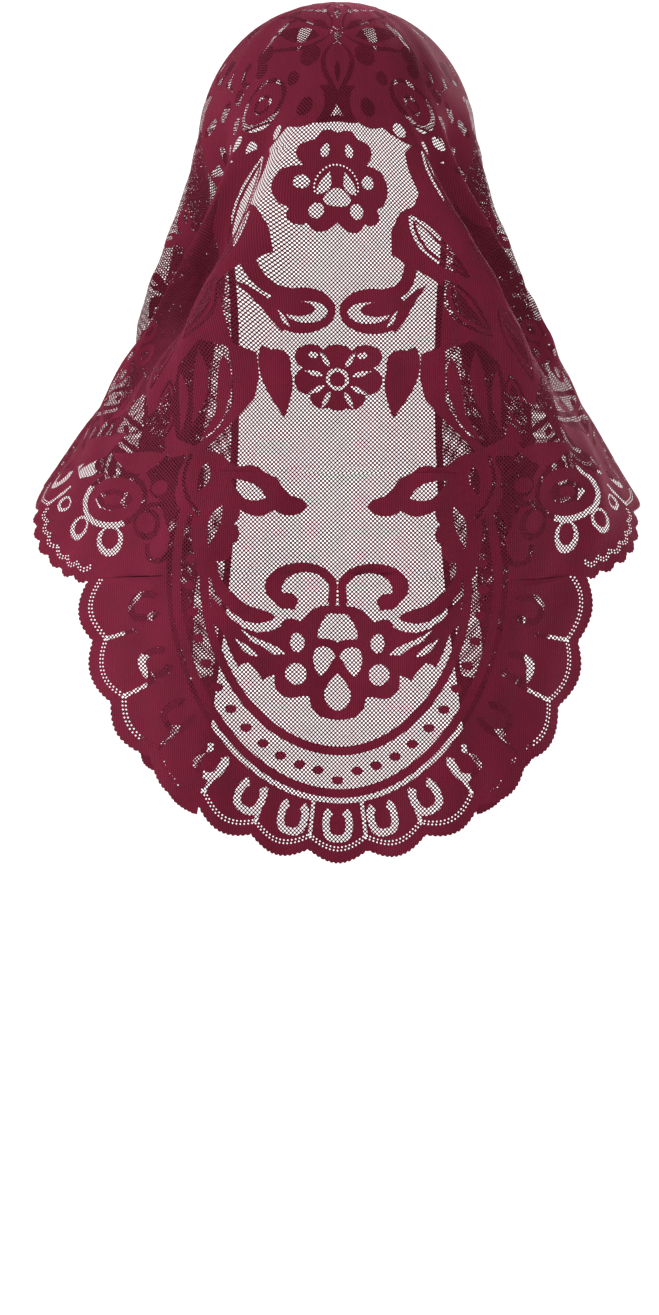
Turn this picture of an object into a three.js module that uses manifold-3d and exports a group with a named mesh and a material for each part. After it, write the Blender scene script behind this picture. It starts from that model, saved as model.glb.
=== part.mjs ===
// A lace mantilla veil in its worn form: one knitted cloth laid over the crown of a head, with a rounded
// medallion lobe down the back, a rose lobe on each shoulder and a folded fall down each side of the chest.
// Millimetres, +Z up. The wearer faces +Y. The origin is the crown, at the middle of the cloth's thickness.

import * as THREE from 'three';
import { mergeGeometries, mergeVertices } from 'three/addons/utils/BufferGeometryUtils.js';
import Module from 'manifold-3d';

// The cloth
const clothThickness = 1.2;

// The head that rounds the cloth: radii of the crown towards the side, the back and the forehead
const headSideRadius = 90;
const headBackRadius = 95;
const headFrontRadius = 90;

// The flat cut, measured along the cloth from the crown
const faceEdgeReach = 115;
const backLength = 600;
const lobeHalfWidth = 157;
const lobeDepth = 170;
const roseRadius = 57;
const frontPastRose = 0.906;
const frontTurnDegrees = 52;

// The hang: how far out and how far fore or aft the cloth stands at each level, how far the face edge turns
// back beside the face and over what length, and how slowly the cloth leaves the head (1 is at once)
const neckReach = 240;
const neckHalfWidth = 119;
const neckDepth = 92;
const shoulderHalfWidth = 194;
const chestDepth = 118;
const faceEdgeTurn = 56;
const faceEdgeTurnLength = 96;
const leavingPower = 1.25;

// The scalloped hem
const lobeScallops = 13;
const roseScallops = 6;
const frontScallops = 16;
const scallopDepth = 7;
const roseScallopDepth = 3.5;
const scallopSteps = 5;
const roseScallopSteps = 3;

// The rails and windows of the border, measured in from the hem
const windowInset = 27;
const windowLength = 20;
const windowWidth = 13;
const tongueWidth = 5;
const dotGaps = 14;
const dotWidth = 6;

// The mesh of the cloth: rows from the crown to the neck, rows below it, and columns in each fold
const crownRows = 5;
const sideRows = 6;
const fallRows = 9;
const columnsPerFold = 2;

const clothColour = 0x6a1630;
const degree = Math.PI / 180;
const lobeTop = backLength - lobeDepth;
const roseAcross = lobeHalfWidth;
const roseDown = lobeTop - roseRadius;
const frontTurn = frontTurnDegrees * degree;
const roseToLine = frontPastRose * roseRadius;
const frontReach = roseAcross * Math.sin(frontTurn) + roseDown * Math.cos(frontTurn) + roseToLine;

// Each row is one fold line from the crown to the hem of the wearer's right side. angle: its direction in
// the flat cut, in degrees from the centre back. follow: the share of the face edge's swing that it takes
// near the crown. neck, half and hem: how far out (share of the half width there) and how far forward (share
// of the depth there) it stands at neck level, half way below it and at the hem. A row may add drift: how
// many degrees nearer the centre back it starts.
const rightFoldRows = [
  { name: 'back panel', angle: 11, follow: 0, neck: [0.38, -1.03], half: [0.41, -0.87], hem: [0.55, -0.90] },
  { name: 'panel edge', angle: 22.5, follow: 0, neck: [0.76, -0.98], hem: [0.90, -0.22] },
  { name: 'shoulder', angle: 30, follow: 0, neck: [0.72, -0.63], hem: [1.00, 0.12] },
  { name: 'side ridge', angle: 40, follow: 0, neck: [0.93, -0.48], hem: [0.94, 0.38] },
  { name: 'side valley', angle: 50, follow: 0.06, neck: [0.63, -0.20], hem: [0.82, 0.52] },
  { name: 'outer ridge', angle: 62, follow: 0.20, neck: [1.00, 0.05], hem: [0.82, 0.75] },
  { name: 'outer valley', angle: 72, follow: 0.40, neck: [0.63, 0.25], hem: [0.60, 0.72] },
  { name: 'front ridge', angle: 82, follow: 0.60, neck: [0.95, 0.46], hem: [0.77, 0.84] },
  { name: 'front valley', angle: 89, follow: 0.72, neck: [0.68, 0.60], hem: [0.51, 0.89] },
  { name: 'inner ridge', angle: 95, follow: 0.86, neck: [0.84, 0.75], hem: [0.68, 1.00] },
  { name: 'face edge', angle: 100.7, follow: 1, neck: [0.57, 0.80], half: [0.36, 0.86], hem: [0.49, 0.99] },
];

// On the wearer's left the panel edge starts nearer the centre back, and the side ridge shows beyond it.
const leftChanges = {
  'back panel': { drift: 5, neck: [0.26, -1.05] },
  'panel edge': { drift: 10, neck: [0.60, -1.00] },
  'shoulder': { drift: 6, neck: [0.62, -0.64] },
  'side ridge': { drift: 4, neck: [0.84, -0.52] },
  'side valley': { neck: [0.60, -0.22] },
};

const centreFold = {
  name: 'centre back', angle: 0, follow: 0, drift: 0, neck: [0, -1.03], half: [0, -0.87], hem: [0, -0.90],
};
const rightFolds = rightFoldRows.map((row) => ({ drift: 0, ...row }));

const smooth = (value, low, high) => {
  const t = Math.min(Math.max((value - low) / (high - low), 0), 1);
  return t * t * (3 - 2 * t);
};
const mix = (a, b, t) => a + (b - a) * t;

// Distance from the crown to the plain hem in the flat cut, in a direction given in radians from the back
const lobeReach = (angle) => {
  const across = Math.sin(angle) / lobeHalfWidth;
  const down = Math.cos(angle) / lobeDepth;
  const lift = lobeTop / lobeDepth;
  const square = across * across + down * down;
  const half = down * lift;
  const inside = half * half - square * (lift * lift - 1);
  return inside < 0 ? 0 : (half + Math.sqrt(inside)) / square;
};
const roseReach = (angle) => {
  const along = roseAcross * Math.sin(angle) + roseDown * Math.cos(angle);
  const inside = roseRadius ** 2 - (roseAcross ** 2 + roseDown ** 2 - along ** 2);
  return inside < 0 ? 0 : along + Math.sqrt(inside);
};
const frontLineReach = (angle) => frontReach / Math.cos(angle - frontTurn);
const frontFrom = 0.4;
const hemReach = (angle) => {
  const a = Math.abs(angle);
  const back = a < Math.PI / 2 ? Math.max(lobeReach(a), roseReach(a)) : 0;
  const front = a > frontFrom ? frontLineReach(a) : 0;
  return Math.max(back, front);
};

// The face edge in the flat cut: a straight line ahead of the crown
const tipAngle = rightFolds[rightFolds.length - 1].angle * degree;
const edgeAngle = (reach) => (reach <= faceEdgeReach ? Math.PI : Math.acos(-faceEdgeReach / reach));
const edgePlanTurn = (reach) => {
  const along = Math.sqrt(Math.max(reach ** 2 - faceEdgeReach ** 2, 0));
  return Math.PI - faceEdgeTurn * degree * Math.min(along / faceEdgeTurnLength, 1);
};

const driftEnds = [0.75 * neckReach, 1.6 * neckReach];
const foldAngle = (fold, reach) => {
  const drift = fold.drift * degree * (1 - smooth(reach, ...driftEnds));
  return fold.angle * degree - drift + fold.follow * (edgeAngle(reach) - tipAngle);
};

// Where a fold line stands in plan on the head, before it leaves it
const onHead = (fold, reach) => {
  const turn = fold.angle * degree - fold.drift * degree + fold.follow * (edgePlanTurn(reach) - tipAngle);
  const depthRadius = turn < Math.PI / 2 ? headBackRadius : headFrontRadius;
  const round = (radius) => radius * Math.sin(Math.min(reach / radius, Math.PI / 2));
  return [round(headSideRadius) * Math.sin(turn), -round(depthRadius) * Math.cos(turn)];
};
const atNeck = (fold) => [fold.neck[0] * neckHalfWidth, fold.neck[1] * neckDepth];
const atHem = (fold) => [fold.hem[0] * shoulderHalfWidth, fold.hem[1] * chestDepth];
const aboveNeck = (fold, reach) => {
  const share = Math.max((reach - faceEdgeReach) / (neckReach - faceEdgeReach), 0) ** leavingPower;
  const head = onHead(fold, reach);
  const neck = atNeck(fold);
  return [mix(head[0], neck[0], share), mix(head[1], neck[1], share)];
};
const hermite = (p0, m0, p1, m1, t) => {
  const t2 = t * t;
  const t3 = t2 * t;
  return (2 * t3 - 3 * t2 + 1) * p0 + (t3 - 2 * t2 + t) * m0 + (3 * t2 - 2 * t3) * p1 + (t3 - t2) * m1;
};
const slopeRun = 4;
const belowNeck = (fold, reach) => {
  const neck = atNeck(fold);
  const hem = atHem(fold);
  const before = aboveNeck(fold, neckReach - slopeRun);
  const half = fold.half
    ? [fold.half[0] * shoulderHalfWidth, fold.half[1] * chestDepth]
    : [mix(neck[0], hem[0], 0.5), mix(neck[1], hem[1], 0.5)];
  const drop = hemReach(fold.angle * degree) - neckReach;
  const share = (reach - neckReach) / drop;
  return [0, 1].map((axis) => {
    const start = (neck[axis] - before[axis]) / slopeRun * drop / 2;
    const middle = (hem[axis] - neck[axis]) / 2;
    const end = 1.5 * (hem[axis] - half[axis]) - 0.5 * middle;
    if (share > 1) return hem[axis] + end * 2 * (share - 1);
    return share < 0.5
      ? hermite(neck[axis], start, half[axis], middle, share * 2)
      : hermite(half[axis], middle, hem[axis], end, share * 2 - 1);
  });
};
const foldPlan = (fold, reach) => {
  const [x, y] = reach <= neckReach ? aboveNeck(fold, reach) : belowNeck(fold, reach);
  return [fold.side * x, y];
};

// All fold lines in order, from the wearer's left tip round the back to the right tip
const folds = [
  ...rightFolds.map((fold) => ({ ...fold, ...leftChanges[fold.name], side: -1 })).reverse(),
  { ...centreFold, side: 1 },
  ...rightFolds.map((fold) => ({ ...fold, side: 1 })),
];

// Plan position of a point of the flat cut: a smooth curve through the fold lines at its own reach
const planAt = (angle, reach) => {
  const angles = folds.map((fold) => fold.side * foldAngle(fold, reach));
  const last = folds.length - 1;
  const found = angles.findIndex((value) => value > angle);
  const i = Math.min(Math.max(found < 0 ? last - 1 : found - 1, 0), last - 1);
  const t = (angle - angles[i]) / (angles[i + 1] - angles[i]);
  const ids = [Math.max(i - 1, 0), i, i + 1, Math.min(i + 2, last)];
  const points = ids.map((id) => foldPlan(folds[id], reach));
  const width = angles[i + 1] - angles[i];
  return [0, 1].map((axis) => {
    const slope = (a, b) => (points[b][axis] - points[a][axis]) / (angles[ids[b]] - angles[ids[a]]) * width;
    const m0 = slope(0, 2);
    const m1 = slope(1, 3);
    if (t > 1) return points[2][axis] + m1 * (t - 1);
    if (t < 0) return points[1][axis] + m0 * t;
    return hermite(points[1][axis], m0, points[2][axis], m1, t);
  });
};

// Height: the cloth keeps its length along each line from the crown, so what it doesn't go out it goes down
const heightStep = 10;
const drapePoint = (across, down) => {
  const reach = Math.hypot(across, down);
  const angle = Math.atan2(across, down);
  let height = 0;
  let from = [0, 0];
  for (let start = 0; start < reach; start += heightStep) {
    const end = Math.min(start + heightStep, reach);
    const to = planAt(angle, end);
    const run = Math.hypot(to[0] - from[0], to[1] - from[1]);
    const length = end - start;
    height -= Math.sqrt(Math.max(length ** 2 - run ** 2, 0));
    from = to;
  }
  return new THREE.Vector3(from[0], from[1], height);
};

// Surface of the cloth: its middle, and the direction square to it that points away from the head
const slopeStep = 1;
const surfaceAt = (across, down) => {
  const middle = drapePoint(across, down);
  const alongAcross = drapePoint(across + slopeStep, down).sub(drapePoint(across - slopeStep, down));
  const alongDown = drapePoint(across, down + slopeStep).sub(drapePoint(across, down - slopeStep));
  return { middle, outward: alongDown.cross(alongAcross).normalize() };
};

// Closed meshes as solids, so that one can cut another
const wasm = await Module();
wasm.setup();
const toSolid = (geometry) => {
  const bare = geometry.clone();
  bare.deleteAttribute('normal');
  bare.deleteAttribute('uv');
  const welded = mergeVertices(bare);
  return new wasm.Manifold(new wasm.Mesh({
    numProp: 3,
    vertProperties: new Float32Array(welded.attributes.position.array),
    triVerts: new Uint32Array(welded.index.array),
  }));
};

// The flat cut is cut out of a domed slab, whose dome keeps the rows and columns of its mesh apart
const slabDepth = 20;
const domeHeight = 200;
const hemMargin = 22;
const domeAt = (across, down) => domeHeight * (across ** 2 + down ** 2) / backLength ** 2;

const turnShares = [];
for (let i = 0; i < folds.length - 1; i += 1) {
  for (let k = 0; k < columnsPerFold; k += 1) turnShares.push({ fold: i, share: k / columnsPerFold });
}
turnShares.push({ fold: folds.length - 2, share: 1 });

const columnAngle = ({ fold, share }, reach) => mix(
  folds[fold].side * foldAngle(folds[fold], reach),
  folds[fold + 1].side * foldAngle(folds[fold + 1], reach),
  share,
);
const sideRowSpread = 1.6;
const rowReach = (column, row) => {
  if (row <= crownRows) return faceEdgeReach * row / crownRows;
  if (row <= crownRows + sideRows) {
    return mix(faceEdgeReach, neckReach, ((row - crownRows) / sideRows) ** sideRowSpread);
  }
  const end = hemReach(columnAngle(column, backLength)) + hemMargin;
  return mix(neckReach, end, (row - crownRows - sideRows) / fallRows);
};
const slabPoint = (column, row, lift) => {
  const reach = rowReach(column, row);
  const angle = columnAngle(column, reach);
  const across = reach * Math.sin(angle);
  const down = reach * Math.cos(angle);
  return [across, -down, domeAt(across, down) + lift];
};
const slabGeometry = () => {
  const rowCount = crownRows + sideRows + fallRows;
  const points = [];
  const quad = (a, b, c, d) => points.push(...a, ...b, ...c, ...a, ...c, ...d);
  const layer = (lift, up) => {
    const corner = (c, row) => slabPoint(turnShares[c], row, lift);
    const crown = [0, 0, lift];
    for (let c = 0; c < turnShares.length - 1; c += 1) {
      const first = up ? c : c + 1;
      const second = up ? c + 1 : c;
      points.push(...crown, ...corner(first, 1), ...corner(second, 1));
      for (let row = 1; row < rowCount; row += 1) {
        quad(corner(first, row), corner(first, row + 1), corner(second, row + 1), corner(second, row));
      }
    }
  };
  const wall = (from, to) => {
    const at = ([c, row], lift) => slabPoint(turnShares[c], row, lift);
    quad(at(from, 0), at(to, 0), at(to, slabDepth), at(from, slabDepth));
  };
  layer(slabDepth, true);
  layer(0, false);
  const lastColumn = turnShares.length - 1;
  for (let c = 0; c < lastColumn; c += 1) wall([c, rowCount], [c + 1, rowCount]);
  for (let row = crownRows; row < rowCount; row += 1) {
    wall([0, row], [0, row + 1]);
    wall([lastColumn, row + 1], [lastColumn, row]);
  }
  const geometry = new THREE.BufferGeometry();
  geometry.setAttribute('position', new THREE.Float32BufferAttribute(points, 3));
  return geometry;
};

// A run of scallops along a curve of the hem: each bulges outward between two cusps
const hemRun = (curve, count, depth, steps) => {
  const points = [];
  for (let k = 0; k < count * steps; k += 1) {
    const share = k / (count * steps);
    const { at, out } = curve(share);
    points.push(at.clone().addScaledVector(out, depth * Math.abs(Math.sin(Math.PI * share * count))));
  }
  return points;
};
const heading = (turn) => new THREE.Vector2(Math.sin(turn), -Math.cos(turn));
const lobeCurve = (share) => {
  const turn = (share - 0.5) * Math.PI;
  const at = new THREE.Vector2(lobeHalfWidth * Math.sin(turn), -lobeTop - lobeDepth * Math.cos(turn));
  return { at, out: heading(turn) };
};
const roseEnd = frontTurn + Math.acos(frontPastRose);
const roseCurve = (share) => {
  const out = heading(share * roseEnd);
  const at = new THREE.Vector2(roseAcross, -roseDown).addScaledVector(out, roseRadius);
  return { at, out };
};
const frontStart = roseCurve(1).at;
const tipAcross = (frontReach + faceEdgeReach * Math.cos(frontTurn)) / Math.sin(frontTurn);
const tip = new THREE.Vector2(tipAcross, faceEdgeReach);
const frontCurve = (share) => ({ at: frontStart.clone().lerp(tip, share), out: heading(frontTurn) });

const rightHem = [
  ...hemRun(roseCurve, roseScallops, roseScallopDepth, roseScallopSteps),
  ...hemRun(frontCurve, frontScallops, scallopDepth, scallopSteps),
  tip.clone().add(new THREE.Vector2(hemMargin, hemMargin)),
];
const mirrored = (points) => points.map((point) => new THREE.Vector2(-point.x, point.y)).reverse();
const hemOutline = [
  ...hemRun(lobeCurve, lobeScallops, scallopDepth, scallopSteps),
  ...rightHem,
  ...mirrored(rightHem.slice(1)),
];

// Windows, as outlines in the flat cut. An oval window has a centre, half sizes and a lean of its long side.
const ovalCorners = 6;
const oval = (centre, long, wide, lean) => {
  const points = [];
  for (let k = 0; k < ovalCorners; k += 1) {
    const turn = 2 * Math.PI * k / ovalCorners;
    const point = new THREE.Vector2(wide * Math.sin(turn), -long * Math.cos(turn));
    points.push(point.rotateAround(new THREE.Vector2(), lean).add(centre));
  }
  return points;
};
const bothSides = (outlines) => [...outlines, ...outlines.map((outline) => mirrored(outline))];

// Each scallop holds a horseshoe window, open towards the hem's inner side, round a solid tongue. The shares
// are of its half length, but for the width that its round end starts to close to.
const bend = { tongueTip: 0.3, start: 0.4, endWidth: 0.5 };
const horseshoe = ({ at, out }) => {
  const along = new THREE.Vector2(-out.y, out.x);
  const w = windowWidth / 2;
  const l = windowLength / 2;
  const t = tongueWidth / 2;
  const corners = [
    [-w, -l], [-t, -l], [-t, bend.tongueTip * l], [t, bend.tongueTip * l], [t, -l], [w, -l],
    [w, bend.start * l], [bend.endWidth * w, l], [-bend.endWidth * w, l], [-w, bend.start * l],
  ];
  const centre = at.clone().addScaledVector(out, -windowInset);
  return corners.map(([a, b]) => centre.clone().addScaledVector(along, a).addScaledVector(out, b));
};
const scallopMiddles = (curve, count) => {
  const middles = [];
  for (let k = 0; k < count; k += 1) middles.push(curve((k + 0.5) / count));
  return middles;
};

// The dot band of the medallion: gaps between solid dots, between two half ellipses
const dotBand = { insideAcross: 0.56, insideDown: 0.67, outsideAcross: 0.62, outsideDown: 0.745 };
const dotGap = (index) => {
  const pad = dotWidth / lobeHalfWidth / 2;
  const start = ((index / dotGaps) - 0.5) * Math.PI + pad;
  const end = (((index + 1) / dotGaps) - 0.5) * Math.PI - pad;
  const at = (turn, across, down) => new THREE.Vector2(
    across * lobeHalfWidth * Math.sin(turn),
    -lobeTop - down * lobeDepth * Math.cos(turn),
  );
  const inside = [end, start].map((turn) => at(turn, dotBand.insideAcross, dotBand.insideDown));
  const outside = [start, end].map((turn) => at(turn, dotBand.outsideAcross, dotBand.outsideDown));
  return [...inside, ...outside];
};

// Windows of the flowers and scrolls. across, down, long and wide are shares of the group's own size.
const panelWindows = [
  { name: 'crown leaf', across: 0.038, down: 0.104, long: 0.018, wide: 0.011, lean: 80 },
  { name: 'crown diamond', across: 0.025, down: 0.136, long: 0.012, wide: 0.010, lean: 0 },
  { name: 'crown side leaf', across: 0.073, down: 0.097, long: 0.012, wide: 0.010, lean: 30 },
  { name: 'flower top', across: 0.014, down: 0.247, long: 0.011, wide: 0.008, lean: 10 },
  { name: 'flower inner side', across: 0.019, down: 0.278, long: 0.010, wide: 0.007, lean: 40 },
  { name: 'flower outer side', across: 0.038, down: 0.278, long: 0.012, wide: 0.008, lean: 60 },
  { name: 'flower foot', across: 0.022, down: 0.310, long: 0.009, wide: 0.007, lean: -30 },
  { name: 'scroll eye', across: 0.033, down: 0.427, long: 0.014, wide: 0.013, lean: 0 },
  { name: 'inner spray leaf', across: 0.040, down: 0.618, long: 0.017, wide: 0.008, lean: -25 },
  { name: 'middle spray leaf', across: 0.086, down: 0.613, long: 0.017, wide: 0.008, lean: 20 },
  { name: 'outer spray leaf', across: 0.146, down: 0.608, long: 0.015, wide: 0.008, lean: 50 },
  { name: 'lower spray leaf', across: 0.128, down: 0.656, long: 0.014, wide: 0.007, lean: 10 },
];
const middleWindows = [
  { name: 'crown slot', down: 0.148, long: 0.021, wide: 0.006 },
  { name: 'flower heart', down: 0.293, long: 0.010, wide: 0.010 },
  { name: 'rosette heart', down: 0.497, long: 0.012, wide: 0.012 },
];
const medallionWindows = [
  { name: 'horn', across: 0.17, down: 0.00, long: 0.070, wide: 0.055, lean: 0 },
  { name: 'upper side', across: 0.17, down: 0.22, long: 0.036, wide: 0.030, lean: 40 },
  { name: 'inner pair', across: 0.055, down: 0.31, long: 0.034, wide: 0.028, lean: 0 },
  { name: 'lower side', across: 0.18, down: 0.35, long: 0.038, wide: 0.036, lean: 0 },
];
const medallionMiddle = [
  { name: 'dome', down: 0.165, long: 0.052, wide: 0.080 },
  { name: 'drop', down: 0.425, long: 0.068, wide: 0.046 },
];
const charted = (table, origin, size) => table.map((row) => oval(
  new THREE.Vector2((row.across ?? 0) * size, -origin - row.down * size),
  row.long * size,
  row.wide * size,
  (row.lean ?? 0) * degree,
));

// A rose: a ring of petal windows round a heart
const rose = { across: 0.104, down: 0.174, ring: 0.037, long: 0.010, wide: 0.008, petals: 6 };
const shoulderRose = { ring: 0.53, long: 0.15, wide: 0.09, heart: 0.13, petals: 6 };
const ringOfPetals = (centre, ring, long, wide, count) => {
  const petals = [];
  for (let k = 0; k < count; k += 1) {
    const turn = 2 * Math.PI * (k + 0.5) / count;
    petals.push(oval(centre.clone().addScaledVector(heading(turn), ring), long, wide, turn));
  }
  return petals;
};
const headRoseCentre = new THREE.Vector2(rose.across, -rose.down).multiplyScalar(backLength);
const shoulderRoseCentre = new THREE.Vector2(roseAcross, -roseDown);
const roseWindows = [
  ...ringOfPetals(
    headRoseCentre,
    rose.ring * backLength,
    rose.long * backLength,
    rose.wide * backLength,
    rose.petals,
  ),
  ...ringOfPetals(
    shoulderRoseCentre,
    shoulderRose.ring * roseRadius,
    shoulderRose.long * roseRadius,
    shoulderRose.wide * roseRadius,
    shoulderRose.petals,
  ),
  oval(shoulderRoseCentre, shoulderRose.heart * roseRadius, shoulderRose.heart * roseRadius, 0),
];

const dotGapOutlines = [];
for (let k = 0; k < dotGaps; k += 1) dotGapOutlines.push(dotGap(k));
const windows = [
  ...bothSides(charted(panelWindows, 0, backLength)),
  ...charted(middleWindows, 0, backLength),
  ...bothSides(charted(medallionWindows, lobeTop, lobeDepth)),
  ...charted(medallionMiddle, lobeTop, lobeDepth),
  ...bothSides(roseWindows),
  ...scallopMiddles(lobeCurve, lobeScallops).map(horseshoe),
  ...bothSides(scallopMiddles(frontCurve, frontScallops).slice(0, -1).map(horseshoe)),
  ...dotGapOutlines,
];

// Cut the flat cloth out of the slab, and bend every point of it into place
const prism = (outline) => {
  const geometry = new THREE.ExtrudeGeometry(new THREE.Shape(outline), {
    depth: 2 * domeHeight + 3 * slabDepth,
    bevelEnabled: false,
  });
  return geometry.translate(0, 0, -slabDepth);
};
const flatCloth = toSolid(slabGeometry())
  .intersect(toSolid(prism(hemOutline)))
  .subtract(toSolid(mergeGeometries(windows.map(prism))));

// The slab's upper face becomes both faces of the cloth, half a thickness to either side of its middle, so
// that the two bend alike. A wall closes every open edge: the hem, the face edge and each window.
const upperFaces = () => {
  const { vertProperties: flat, triVerts: corners } = flatCloth.getMesh();
  const raised = (i) => flat[3 * i + 2] - domeAt(flat[3 * i], flat[3 * i + 1]) > slabDepth / 2;
  const faces = [];
  for (let i = 0; i < corners.length; i += 3) {
    const face = corners.subarray(i, i + 3);
    if (face.every(raised)) faces.push([...face]);
  }
  return { flat, faces };
};
const drapedGeometry = () => {
  const { flat, faces } = upperFaces();
  const order = new Map();
  faces.flat().forEach((i) => order.has(i) || order.set(i, order.size));
  const count = order.size;
  const positions = new Float32Array(6 * count);
  order.forEach((place, i) => {
    const { middle, outward } = surfaceAt(flat[3 * i], -flat[3 * i + 1]);
    const half = outward.multiplyScalar(clothThickness / 2);
    middle.clone().add(half).toArray(positions, 3 * place);
    middle.clone().sub(half).toArray(positions, 3 * (count + place));
  });
  const edges = new Set();
  const triangles = [];
  faces.map((face) => face.map((i) => order.get(i))).forEach(([a, b, c]) => {
    triangles.push(a, b, c, count + a, count + c, count + b);
    [[a, b], [b, c], [c, a]].forEach(([from, to]) => {
      if (!edges.delete(`${to},${from}`)) edges.add(`${from},${to}`);
    });
  });
  edges.forEach((edge) => {
    const [from, to] = edge.split(',').map(Number);
    triangles.push(to, from, count + from, to, count + from, count + to);
  });
  const geometry = new THREE.BufferGeometry();
  geometry.setAttribute('position', new THREE.BufferAttribute(positions, 3));
  geometry.setIndex(triangles);
  geometry.computeVertexNormals();
  return geometry;
};

const lace = new THREE.MeshStandardMaterial({ color: clothColour, roughness: 0.8, metalness: 0 });
const veil = new THREE.Mesh(drapedGeometry(), lace);
veil.name = 'lace_veil';

const part = new THREE.Group();
part.add(veil);
export default part;
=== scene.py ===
import math

import bpy
import numpy as np
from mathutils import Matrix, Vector
from mathutils.geometry import delaunay_2d_cdt


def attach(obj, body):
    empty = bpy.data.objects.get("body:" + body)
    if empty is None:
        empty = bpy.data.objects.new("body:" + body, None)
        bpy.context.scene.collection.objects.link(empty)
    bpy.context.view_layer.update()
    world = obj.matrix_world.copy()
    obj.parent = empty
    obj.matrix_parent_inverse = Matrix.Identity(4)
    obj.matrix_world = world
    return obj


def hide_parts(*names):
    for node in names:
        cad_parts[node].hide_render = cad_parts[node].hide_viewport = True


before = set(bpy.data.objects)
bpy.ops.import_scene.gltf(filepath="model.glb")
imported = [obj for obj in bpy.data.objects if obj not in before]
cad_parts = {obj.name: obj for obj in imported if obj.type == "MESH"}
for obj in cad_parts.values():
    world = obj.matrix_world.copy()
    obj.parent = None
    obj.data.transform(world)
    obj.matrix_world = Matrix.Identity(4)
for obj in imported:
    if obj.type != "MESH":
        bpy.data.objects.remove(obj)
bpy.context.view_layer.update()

# The flat cut of the veil. The real one is a single panel of machine-knitted polyester lace, cut out along
# its scalloped hem: a wide triangle with a straight face edge and a round lobe at the back. Here it is
# drawn flat in millimetres, across and down from the point that lies on the crown.
MM = 0.001
face_edge_reach = 115
back_length = 600
lobe_half_width = 157
lobe_depth = 170
rose_radius = 57
front_reach = 405
front_turn = math.radians(52)
front_hem_from = 0.4
lobe_top = back_length - lobe_depth
rose_across = lobe_half_width
rose_down = lobe_top - rose_radius
picot_pitch = 3.0
picot_height = 1.1


def lobe_reach(angle):
    across, down = np.sin(angle) / lobe_half_width, np.cos(angle) / lobe_depth
    lift = lobe_top / lobe_depth
    square, half = across**2 + down**2, down * lift
    inside = half**2 - square * (lift**2 - 1)
    return np.where(inside < 0, 0, (half + np.sqrt(np.maximum(inside, 0))) / square)


def rose_reach(angle):
    along = rose_across * np.sin(angle) + rose_down * np.cos(angle)
    inside = rose_radius**2 - (rose_across**2 + rose_down**2 - along**2)
    return np.where(inside < 0, 0, along + np.sqrt(np.maximum(inside, 0)))


def hem_reach(angle):
    a = abs(angle)
    back = max(lobe_reach(a), rose_reach(a)) if a < math.pi / 2 else 0
    front = front_reach / math.cos(a - front_turn) if a > front_hem_from else 0
    return float(max(back, front))


def heading(turn):
    return np.array([math.sin(turn), math.cos(turn)])


def lobe_curve(share, inset=0.0):
    turn = (share - 0.5) * math.pi
    out = heading(turn)
    at = np.array([lobe_half_width * math.sin(turn), lobe_top + lobe_depth * math.cos(turn)])
    return at - out * inset, out


rose_to_line = front_reach - rose_across * math.sin(front_turn) - rose_down * math.cos(front_turn)
rose_end = front_turn + math.acos(rose_to_line / rose_radius)


def rose_curve(share, inset=0.0):
    out = heading(share * rose_end)
    return np.array([rose_across, rose_down]) + out * (rose_radius - inset), out


front_start = rose_curve(1)[0]
tip_across = (front_reach + face_edge_reach * math.cos(front_turn)) / math.sin(front_turn)
tip = np.array([tip_across, -face_edge_reach])


def front_curve(share, inset=0.0):
    out = heading(front_turn)
    return front_start + (tip - front_start) * share - out * inset, out


lobe_scallops, rose_scallops, front_scallops = 13, 6, 16
lobe_edge_length, front_edge_length = math.pi * 164, math.dist(tip, front_start)
hem_runs = [
    dict(name="lobe", curve=lobe_curve, scallops=lobe_scallops, depth=7.0, length=lobe_edge_length),
    dict(name="rose", curve=rose_curve, scallops=rose_scallops, depth=3.5, length=rose_radius * rose_end),
    dict(name="front", curve=front_curve, scallops=front_scallops, depth=7.0, length=front_edge_length),
]


def scalloped(run, inset=0.0, picots=False, end=1.0):
    points = []
    count = int(run["length"] * end)
    for k in range(count + 1):
        share = end * k / count
        at, out = run["curve"](share, inset)
        bulge = run["depth"] * abs(math.sin(math.pi * share * run["scallops"]))
        if picots:
            bulge += picot_height * abs(math.sin(math.pi * share * run["length"] / picot_pitch))
        points.append(at + out * bulge)
    return points


def mirrored(points):
    return [np.array([-p[0], p[1]]) for p in reversed(points)]


lobe_cut, rose_cut = scalloped(hem_runs[0], picots=True), scalloped(hem_runs[1], picots=True)
front_cut = scalloped(hem_runs[2], picots=True, end=0.995) + [tip]
face_cut = [np.array([x, -face_edge_reach]) for x in np.arange(tip_across - 4, 2, -4)]
middle_cut = [np.array([rose_across, rose_down])] + front_cut + face_cut
middle_cut += mirrored(middle_cut)
middle_cut += [np.array([side * lobe_half_width, lobe_top]) for side in (-1, 1)]
rose_cut.append(np.array([rose_across, rose_down]))
cloth_cuts = [middle_cut, lobe_cut, rose_cut, mirrored(rose_cut)]

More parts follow.
